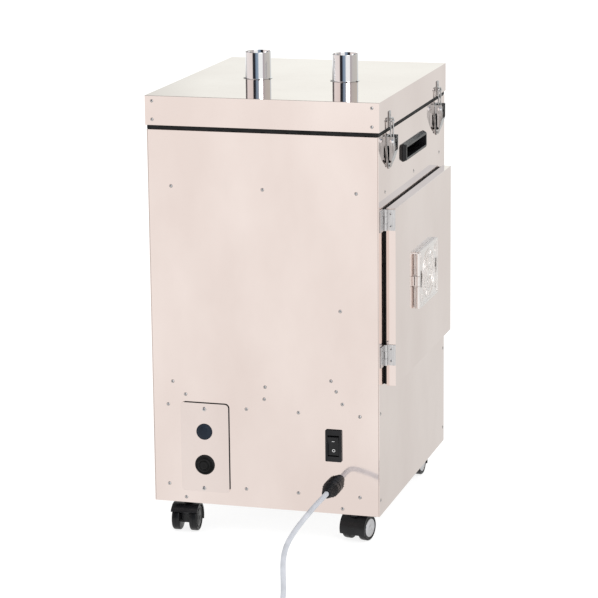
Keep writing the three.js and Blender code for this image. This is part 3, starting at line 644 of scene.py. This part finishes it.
def side_rows():
    """Heights of the riveted rows, each with the places along Y of its rivets on the left side."""
    ring = middle("upper_support_ring").z
    probe = middle("temperature_probe").z
    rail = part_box("left_tray_rail")[1].z
    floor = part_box("chamber_floor")[1].z
    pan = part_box("base_pan")[1].z
    return ((ring, (0.179, -0.001, -0.182)), (probe, (-0.150,)), (rail + 0.0015, (0.184, -0.001, -0.141)),
            (rail + 0.0215, (-0.131,)), (floor + 0.0135, (0.1585, 0.001, -0.153)),
            (floor - 0.0085, (0.194, 0.037, -0.0665, -0.187)), (pan - 0.006, (0.195, 0.039, -0.065, -0.1865)),
            (pan - 0.031, (0.161, -0.152)))


def cabinet_rivets():
    bm = bmesh.new()
    rows = side_rows()
    for height, places in rows:
        for y in places:
            add_rivet(bm, (BODY_LO.x, y, height), LEFT)
    on_both = [row for row in rows if len(row[1]) > 2]
    for height, places in on_both:
        for y in places:
            add_rivet(bm, (BODY_HI.x, y, height), RIGHT)
        for x in (-0.225, -0.075, 0.075, 0.225):
            add_rivet(bm, (x, BODY_HI.y, height), REAR)
    ring, floor, pan = rows[0][0], rows[5][0], rows[6][0]
    for x in (-0.2215, 0.004, 0.2215):
        add_rivet(bm, (x, BODY_LO.y, ring - 0.003), FRONT)
    for height in (floor + 0.006, pan - 0.005):
        for x in (-0.2605, 0.2605):
            add_rivet(bm, (x, BODY_LO.y, height), FRONT)
    return make_piece("cabinet_rivets", bm, "cabinet", [HINGE, SHADOW])


def lid_rivets():
    bm = bmesh.new()
    for side, axis in ((LID_LO.x, LEFT), (LID_HI.x, RIGHT)):
        for y in (-0.213, 0.213):
            for height in (LID_HI.z - 0.010, LID_LO.z + 0.011):
                add_rivet(bm, (side, y, height), axis, 2.6 * MM)
    for name in ("front_chimney", "rear_chimney"):
        centre = middle(name)
        for degrees in (20, 110, 200, 250):
            reach = 0.0275
            angle = math.radians(degrees)
            place = (centre.x + reach * math.cos(angle), centre.y + reach * math.sin(angle),
                     LID_HI.z + 0.0009)
            add_rivet(bm, place, UP, 1.9 * MM)
    return make_piece("lid_rivets", bm, "lid", [HINGE, SHADOW])


def fitting_screws():
    """Screws of the cover and the hinges and rivets of the latches, by the body they ride on."""
    cabinet, door_side, lid_side = bmesh.new(), bmesh.new(), bmesh.new()
    cover_lo, cover_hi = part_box("service_cover")
    for y, height in ((0.121, cover_hi.z - 0.012), (0.124, cover_lo.z + 0.0065)):
        add_screw(cabinet, (cover_lo.x, y, height), LEFT, 4.2 * MM, 0.4)
    for place in ("lower", "upper"):
        leaf_lo, leaf_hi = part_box(f"{place}_door_hinge_door_leaf")
        body_lo, body_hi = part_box(f"{place}_door_hinge_body_leaf")
        height = (leaf_lo.z + leaf_hi.z) / 2
        for rise in (-0.0115, 0.0115):
            place_on_door = (-0.2334, DOOR_LO.y + 0.0085, height + rise)
            add_screw(door_side, place_on_door, LEFT, 2.5 * MM, 0.3 + 30 * rise)
            add_screw(cabinet, (body_lo.x + 0.0085, -0.2261, height + rise), FRONT, 2.4 * MM, 0.7)
    for place in ("left", "right"):
        leaf_lo, leaf_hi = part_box(f"{place}_lid_hinge_lid_leaf")
        body_lo, body_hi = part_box(f"{place}_lid_hinge_body_leaf")
        centre = (leaf_lo.x + leaf_hi.x) / 2
        for across in (-0.020, 0.0, 0.020):
            add_screw(lid_side, (centre + across, 0.2290, leaf_hi.z - 0.0075), REAR, 2.5 * MM, 0.2)
            add_screw(cabinet, (centre + across, 0.2288, body_lo.z + 0.0075), REAR, 2.5 * MM, 0.9)
        base = middle(f"{place}_latch_base")
        base_lo, base_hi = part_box(f"{place}_latch_base")
        keeper = middle(f"{place}_latch_keeper")
        plate = base_hi.y - 0.0016
        add_rivet(cabinet, (base.x, plate, base_lo.z + 0.006), FRONT, 2.2 * MM)
        add_rivet(lid_side, (keeper.x, LID_LO.y - 0.0018, LID_LO.z + 0.022), FRONT, 2.2 * MM)
    finishes = [HINGE, SHADOW]
    make_piece("cabinet_screws", cabinet, "cabinet", finishes)
    make_piece("door_screws", door_side, "door", finishes)
    make_piece("lid_screws", lid_side, "lid", finishes)


# ---------------------------------------------------------------- lid and chimneys
def chimney(name):
    """A bright tube with a rolled top edge, on a thin flange."""
    lo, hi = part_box(name)
    centre = (lo + hi) / 2
    flange = (hi.x - lo.x) / 2 / MM - 2.2
    height = (hi.z - lo.z) / MM
    tube = 25.0
    bore = tube - 1.6
    profile = [(bore, 0), (flange, 0), (flange - 0.1, 0.25), (flange - 0.6, 0.4), (tube + 0.9, 0.5),
               (tube + 0.3, 0.9),
               (tube, 1.6), (tube, height - 0.8), (tube - 0.2, height - 0.2), (tube - 0.8, height),
               (bore + 0.2, height - 0.2), (bore, height - 0.8)]
    bm = bmesh.new()
    base = Matrix.Translation((centre.x, centre.y, lo.z))
    add_lathe(bm, [(r * MM, h * MM) for r, h in profile], base, segments=96, closed=True)
    return make_piece(f"{name}_form", bm, "lid", [CHROME], (name,))


# ---------------------------------------------------------------- pocket handle
def pocket_handle():
    """The recessed grip, with a rim whose outer edge slopes down to the sheet."""
    lo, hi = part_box("pocket_handle")
    face = lo.y + 0.1 * MM
    corner = 6.05 * MM
    centre, half = (lo + hi) / 2, (hi - lo) / 2
    bm = bmesh.new()
    bm.from_mesh(frame["nodes"]["pocket_handle"].data)
    bmesh.ops.remove_doubles(bm, verts=bm.verts, dist=1e-5)
    bmesh.ops.dissolve_limit(bm, angle_limit=math.radians(0.5), verts=bm.verts, edges=bm.edges)
    for vert in bm.verts:
        across, up = vert.co.x - centre.x, vert.co.z - centre.z
        if vert.co.y < face and (abs(across) > half.x - corner or abs(up) > half.z - corner):
            vert.co.x -= math.copysign(4.0 * MM, across)
            vert.co.z -= math.copysign(3.0 * MM, up)
    return make_piece("pocket_handle_form", bm, "cabinet", [PLASTIC],
                      ("pocket_handle",), bevel=0.6 * MM, segments=3)


# ---------------------------------------------------------------- left side fittings
def cover_seam_shadow():
    """A painted shadow: a dark strip for the gap along the top and the front edge of the service cover, round
    its corner.
    """
    lo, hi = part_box("service_cover")
    y, z = (lo.y + hi.y) / 2, (lo.z + hi.z) / 2
    half_y, half_z = (hi.y - lo.y) / 2, (hi.z - lo.z) / 2
    radius = 8 * MM
    bm = bmesh.new()
    rings = []
    for reach, x in ((0.7, 0), (0.7, -0.15), (-0.8, -0.15), (-0.8, 0)):
        edge = reach * MM
        face = BODY_LO.x if x == 0 else lo.x + x * MM
        line = [(-half_y + radius, half_z + edge)]
        for k in range(9):
            angle = math.pi / 2 * (1 - k / 8)
            line.append((half_y - radius + (radius + edge) * math.cos(angle),
                         half_z - radius + (radius + edge) * math.sin(angle)))
        line.append((half_y + edge, -half_z + radius))
        rings.append([bm.verts.new((face, y - u, z + v)) for u, v in line])
    for a, b in zip(rings, rings[1:] + rings[:1]):
        for k in range(len(a) - 1):
            bm.faces.new((a[k], a[k + 1], b[k + 1], b[k]))
    for end in (0, -1):
        bm.faces.new([ring[end] for ring in rings])
    return make_piece("service_cover_seam_shadow", bm, "cabinet", [SHADOW])


def side_plug(node, profile, finish):
    lo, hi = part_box(node)
    bm = bmesh.new()
    out = turned((BODY_LO.x, (lo.y + hi.y) / 2, (lo.z + hi.z) / 2), LEFT)
    add_lathe(bm, [(r * MM, h * MM) for r, h in profile], out, segments=64)
    return make_piece(f"{node}_form", bm, "cabinet", [finish], (node,), angle=50)


def side_plugs():
    side_plug("upper_blanking_plug", [
        (0, -2.6), (12, -2.6), (12, 1.9), (15.8, 1.9), (15.8, 3.2), (15.4, 4.1), (14.6, 4.8), (13.6, 4.6),
        (12.9, 4.9), (11.4, 6.3), (9, 7.2), (6, 7.6), (3, 7.75), (0, 7.8)], BLUE_BLACK)
    side_plug("lower_cable_plug", [
        (0, -2.6), (14, -2.6), (14, 1.9), (19.6, 1.9), (19.6, 3.4), (19, 4.5), (17.4, 5.3), (16.4, 5),
        (15.6, 3.9), (13.6, 3.9), (13.2, 6.2), (12.8, 8.2), (12, 9), (10.9, 9.2), (9.9, 8.4), (9.2, 7.4),
        (8.1, 7.4), (7.7, 8.8), (7, 9.4), (5.2, 9.5), (4.6, 8.9), (2.2, 8.8), (1.8, 9.3), (0, 9.4)], RUBBER)


def rocker_marks():
    """A bar on one half of the rocker and a ring on the other."""
    bm = bmesh.new()
    rocker = bmesh.new()
    rocker.from_mesh(frame["nodes"]["switch_rocker"].data)
    bmesh.ops.remove_doubles(rocker, verts=rocker.verts, dist=1e-5)
    bmesh.ops.dissolve_limit(rocker, angle_limit=math.radians(0.5), verts=rocker.verts, edges=rocker.edges)
    faces = sorted((f for f in rocker.faces if f.normal.x < -0.9), key=lambda f: f.calc_center_median().z)
    low, high = faces[0], faces[-1]
    bar = turned(high.calc_center_median(), high.normal)
    add_box(bm, (-2.6 * MM, -0.5 * MM, -0.1 * MM), (2.6 * MM, 0.5 * MM, 0.08 * MM), bar)
    ring = [(r * MM, h * MM) for r, h in ((2.0, -0.1), (2.0, 0.08), (2.9, 0.08), (2.9, -0.1))]
    add_lathe(bm, ring, turned(low.calc_center_median(), low.normal), segments=32, closed=True)
    rocker.free()
    return make_piece("rocker_marks", bm, "power_rocker", [MARK])


# ---------------------------------------------------------------- door vent
def vent_flap():
    """A cast flap: a rimmed plate with rings, a diamond, radial ribs and corner fans, on two knuckles."""
    lo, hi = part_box("vent_flap")
    frame_lo, frame_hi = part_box("vent_frame")
    half_height = (hi.z - lo.z) / 2
    half_width = hi.x
    height = (lo.z + hi.z) / 2
    thick = 5.0 * MM
    relief = 1.5 * MM
    face = DOOR_LO.y - 0.0047
    out = Matrix.Translation((0, face, height)) @ Matrix.Rotation(math.pi / 2, 4, "X")
    plate = thick - relief
    bm = bmesh.new()
    add_prism(bm, rounded_outline(half_width, half_height, 6 * MM), plate, out)
    ground = out @ Matrix.Translation((0, 0, plate - 0.2 * MM))

    def band(outer, inner):
        rings = []
        for outline, rise in ((outer, 0), (outer, relief), (inner, relief), (inner, 0)):
            rings.append([bm.verts.new(ground @ Vector((x, y, rise))) for x, y in outline])
        for a, b in zip(rings, rings[1:] + rings[:1]):
            for k in range(len(a)):
                n = (k + 1) % len(a)
                bm.faces.new((a[k], a[n], b[n], b[k]))

    def circle(radius):
        return [(radius * math.cos(2 * math.pi * k / 72), radius * math.sin(2 * math.pi * k / 72))
                for k in range(72)]

    def diamond(reach):
        return [(reach, 0), (0, reach), (-reach, 0), (0, -reach)]

    def rib(x, y, angle, length, width):
        turn = ground @ Matrix.Translation((x, y, 0)) @ Matrix.Rotation(angle, 4, "Z")
        add_prism(bm, rounded_outline(length / 2, width / 2, width * 0.45, 3), relief * 0.9, turn)

    rim = 4 * MM
    band(rounded_outline(half_width, half_height, 6 * MM),
         rounded_outline(half_width - rim, half_height - rim, 3 * MM))
    band(circle(48.5 * MM), circle(45.5 * MM))
    band(circle(35 * MM), circle(32.5 * MM))
    band(diamond(31 * MM), diamond(26.5 * MM))
    band(circle(15 * MM), circle(12.5 * MM))
    for k in range(16):
        angle = 2 * math.pi * k / 16
        rib(40.2 * MM * math.cos(angle), 40.2 * MM * math.sin(angle), angle, 9 * MM, 2.6 * MM)
    for k in range(8):
        angle = 2 * math.pi * (k + 0.5) / 8
        rib(20.5 * MM * math.cos(angle), 20.5 * MM * math.sin(angle), angle, 8 * MM, 2.2 * MM)
    for sx in (-1, 1):
        for sy in (-1, 1):
            for spread in (-0.55, -0.18, 0.18, 0.55):
                angle = math.atan2(sy, sx * 0.9) + spread
                x = sx * 66 * MM - 12 * MM * math.cos(angle)
                y = sy * 46 * MM - 10 * MM * math.sin(angle)
                rib(x, y, angle, 15 * MM, 2.2 * MM)
            rib(sx * 62 * MM, 0, math.pi / 2, 34 * MM, 2.4 * MM)
            rib(sx * 57 * MM, 0, math.pi / 2, 22 * MM, 2.0 * MM)
    boss = [(0, 0), (9, 0), (9, 0.8), (8, 1.5), (5, 2.0), (0, 2.2)]
    add_lathe(bm, [(r * MM, h * MM) for r, h in boss], ground, segments=48)

    hinge = JOINT["vent_flap_hinge"]["pos_m"]
    knuckle = 3.4 * MM
    fixed_low, fixed_high = height - 10.5 * MM, height + 9.5 * MM
    lower = (max(lo.z, frame_lo.z) + 2 * MM, fixed_low - 0.5 * MM)
    upper = (fixed_high + 0.5 * MM, min(hi.z, frame_hi.z) - 2 * MM)
    for z0, z1 in (lower, upper):
        length = z1 - z0
        profile = [(0, 0), (knuckle - 0.4 * MM, 0), (knuckle, 0.4 * MM), (knuckle, length - 0.4 * MM),
                   (knuckle - 0.4 * MM, length), (0, length)]
        add_lathe(bm, profile, Matrix.Translation((hinge[0], hinge[1], z0)), segments=36)
        add_box(bm, (hinge[0] + 2 * MM, face - plate, z0),
                (-half_width + 4 * MM, face - plate + 2.6 * MM, z1))
    return make_piece("vent_flap_form", bm, "vent_flap", [CAST], ("vent_flap",),
                      bevel=0.35 * MM)


# ---------------------------------------------------------------- latches
def latch_bail(side):
    """One bent wire: up both legs and over the keeper, with an eye round the cross pin at each end."""
    lo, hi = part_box(f"{side}_latch_bail")
    centre = (lo.x + hi.x) / 2
    pivot = JOINT[f"{side}_latch_bail_pivot"]["pos_m"]
    wire = 1.5 * MM
    leg = 9.4 * MM
    top = hi.z - wire
    corners = [(centre - leg, pivot[1], pivot[2] + 3 * MM), (centre - leg, pivot[1], top),
               (centre + leg, pivot[1], top), (centre + leg, pivot[1], pivot[2] + 3 * MM)]
    bm = bmesh.new()
    add_wire(bm, rounded_path(corners, 5 * MM, 8), wire, sides=16)
    eye = [(r * MM, h * MM) for r, h in (
        (1.8, -1.5), (1.8, 1.5), (3.0, 1.5), (3.4, 1.1), (3.4, -1.1), (3.0, -1.5))]
    for x in (centre - leg, centre + leg):
        add_lathe(bm, eye, turned((x, pivot[1], pivot[2]), RIGHT), segments=32, closed=True)
    return make_piece(f"{side}_latch_bail_form", bm, f"{side}_latch_bail", [LATCH],
                      (f"{side}_latch_bail",))


def latch_slot_shades():
    """A dark block painted in as the shade in each latch's slot between its lever and base plate, and the
    round heads of the lever's pivot pins.
    """
    bm = bmesh.new()
    for side in ("left", "right"):
        lo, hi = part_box(f"{side}_latch_base")
        centre = (lo.x + hi.x) / 2
        # Painted shade: a dark block standing for the shadowed slot behind the lever.
        add_box(bm, (centre - 7.2 * MM, hi.y - 4.5 * MM, lo.z + 12 * MM),
                (centre + 7.2 * MM, hi.y - 1.5 * MM, hi.z - 3 * MM))
        pivot = JOINT[f"{side}_latch_lever_pivot"]["pos_m"]
        for sign in (-1, 1):
            head = [(r * MM, h * MM) for r, h in (
                (0, -0.5), (4.2, -0.5), (4.2, 0.6), (3.6, 1.5), (2, 1.9), (0, 2))]
            place = turned((centre + sign * 16 * MM, pivot[1], pivot[2]), (sign, 0, 0))
            add_lathe(bm, head, place, segments=28, finish=1)
    return make_piece("latch_slot_shades", bm, "cabinet", [SHADOW, CHROME])


# ---------------------------------------------------------------- casters
def caster_wheels(corner):
    """Two grooved wheels on one axle, with caps that are silver at the front and black at the rear."""
    node = f"{corner}_caster_wheels"
    spin = JOINT[f"{corner}_caster_spin"]
    centre = Vector(spin["pos_m"])
    axis = Vector(spin["axis"])
    wheel = [(3.6, 9.6), (21.5, 9.6), (23.6, 10), (24.7, 11), (25, 12.4), (25, 16.6), (24.5, 17),
             (24.5, 17.8), (25, 18.2), (25, 22.4), (24.6, 23.8), (23.4, 24.9), (22.4, 25.2), (21.6, 24.7),
             (20.8, 23.7), (18.4, 23.5), (3.6, 23.5)]
    cap = [(0, 23.3), (18.1, 23.3), (18.1, 24.6), (17.5, 25.2), (16.8, 25.1), (16.3, 24.5), (15.2, 24.6),
           (12, 25.3), (8, 25.8), (6.2, 25.9), (5.7, 25.4), (5.1, 25.4), (4.6, 26), (3, 26.3), (0, 26.4)]
    axle = [(0, -24), (3.8, -24), (3.8, 24), (0, 24)]
    bm = bmesh.new()
    add_lathe(bm, [(r * MM, h * MM) for r, h in axle], turned(centre, axis), segments=32, finish=1)
    for side in (-1, 1):
        out = turned(centre, axis * side)
        add_lathe(bm, [(r * MM, h * MM) for r, h in wheel], out, segments=72, closed=True)
        add_lathe(bm, [(r * MM, h * MM) for r, h in cap], out, segments=72, finish=1)
    hub = CAP if corner.startswith("front") else TYRE
    return make_piece(f"{node}_form", bm, node, [TYRE, hub], (node,), angle=50)


# ---------------------------------------------------------------- inside the chamber
def wire_rack(node):
    lo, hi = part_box(node)
    height = (lo.z + hi.z) / 2
    rim = 3.0 * MM
    thin = 1.6 * MM
    x, y0, y1 = hi.x - rim, lo.y + rim, hi.y - rim
    bm = bmesh.new()
    corners = [(0, y0, height), (x, y0, height), (x, y1, height), (-x, y1, height),
               (-x, y0, height), (0, y0, height)]
    add_wire(bm, rounded_path(corners, 14 * MM, 8)[:-1], rim, sides=16, looped=True)
    wires = 11
    for k in range(wires):
        across = -0.192 + k * 0.384 / (wires - 1)
        add_wire(bm, [(across, y0, height), (across, y1, height)], thin, sides=12)
    add_wire(bm, [(-x, (y0 + y1) / 2, height), (x, (y0 + y1) / 2, height)], thin, sides=12)
    return make_piece(f"{node}_form", bm, "cabinet", [CHROME], (node,))


def heating_element():
    """A hairpin tube: up through the floor, forward, round, and back down."""
    lo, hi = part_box("heating_element")
    tube = 4.0 * MM
    reach = hi.x - tube
    back = hi.y - tube
    top = hi.z - tube
    bend = Vector((0, lo.y + tube + reach, top))
    front = [bend + Vector((-reach * math.cos(math.pi * k / 24), -reach * math.sin(math.pi * k / 24), 0))
             for k in range(25)]
    left = rounded_path([(-reach, back, lo.z), (-reach, back, top), front[0]], 10 * MM, 8)
    right = rounded_path([front[-1], (reach, back, top), (reach, back, lo.z)], 10 * MM, 8)
    bm = bmesh.new()
    add_wire(bm, left[:-1] + front + right[1:], tube, sides=20)
    return make_piece("heating_element_form", bm, "cabinet", [HEATED], ("heating_element",))


def temperature_probe():
    lo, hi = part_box("temperature_probe")
    bm = bmesh.new()
    inward = turned((lo.x, (lo.y + hi.y) / 2, (lo.z + hi.z) / 2), RIGHT)
    profile = [(0, 0), (9, 0), (9, 2.6), (8.6, 3), (4.5, 3), (4.5, 13.4), (3.9, 14),
               (2.5, 14), (2.5, 68), (1.8, 69.6), (0, 70)]
    add_lathe(bm, [(r * MM, h * MM) for r, h in profile], inward, segments=40)
    return make_piece("temperature_probe_form", bm, "cabinet", [SATIN], ("temperature_probe",))


# ---------------------------------------------------------------- build
make_camera()
make_world()
bpy.context.scene.view_settings.view_transform = "Standard"
make_floor()
soft_light("key_light", (-2.6, -2.4, 3.2), (0, 0, 0.4), 2.0, 40)

for node, piece in frame["nodes"].items():
    piece.data.materials.clear()
    piece.data.materials.append(SLOT_FINISH[NODE_SLOT[node]])

SHEETS = ("front_panel", "rear_panel", "left_panel", "right_panel", "lid_shell", "door_panel")
SEALS = ("lid_gasket", "door_gasket")
LATCH_PARTS = [f"{side}_latch_{part}" for side in ("left", "right") for part in ("base", "lever", "keeper")]
LEAVES = [name for name in frame["nodes"] if name.endswith("_leaf")]
INSIDE = ("base_pan", "chamber_floor", "upper_support_ring", "left_tray_rail", "right_tray_rail", "drip_pan",
          "wood_chip_tray", "rack_frame", "door_liner")
for name in SHEETS:
    dress(name, 0.6 * MM)
for name in SEALS:
    dress(name, 1.2 * MM, segments=3)
for name in LATCH_PARTS + LEAVES:
    dress(name, 0.3 * MM)
for name in INSIDE:
    dress(name, 0.5 * MM)
dress("service_cover", 0.4 * MM, COVER_SHADED)
dress("control_box", 1.5 * MM, segments=3)
dress("vent_frame", 0.4 * MM)
pocket_handle()
dress("switch_housing", 0.6 * MM, segments=3)
dress("switch_rocker", 0.6 * MM, segments=3)
for corner in CORNERS:
    dress(f"{corner}_caster_hood", 0.7 * MM, segments=3)
    caster_wheels(corner)
for name in ("front_chimney", "rear_chimney"):
    chimney(name)
for side in ("left", "right"):
    latch_bail(side)
latch_slot_shades()
for name in ("lower_wire_rack", "upper_wire_rack"):
    wire_rack(name)
heating_element()
temperature_probe()
cover_seam_shadow()
side_plugs()
rocker_marks()
vent_flap()
cabinet_rivets()
lid_rivets()
fitting_screws()

lead = mains_lead()
tie = coil_tie()
plug = mains_plug()
gland = cable_gland()
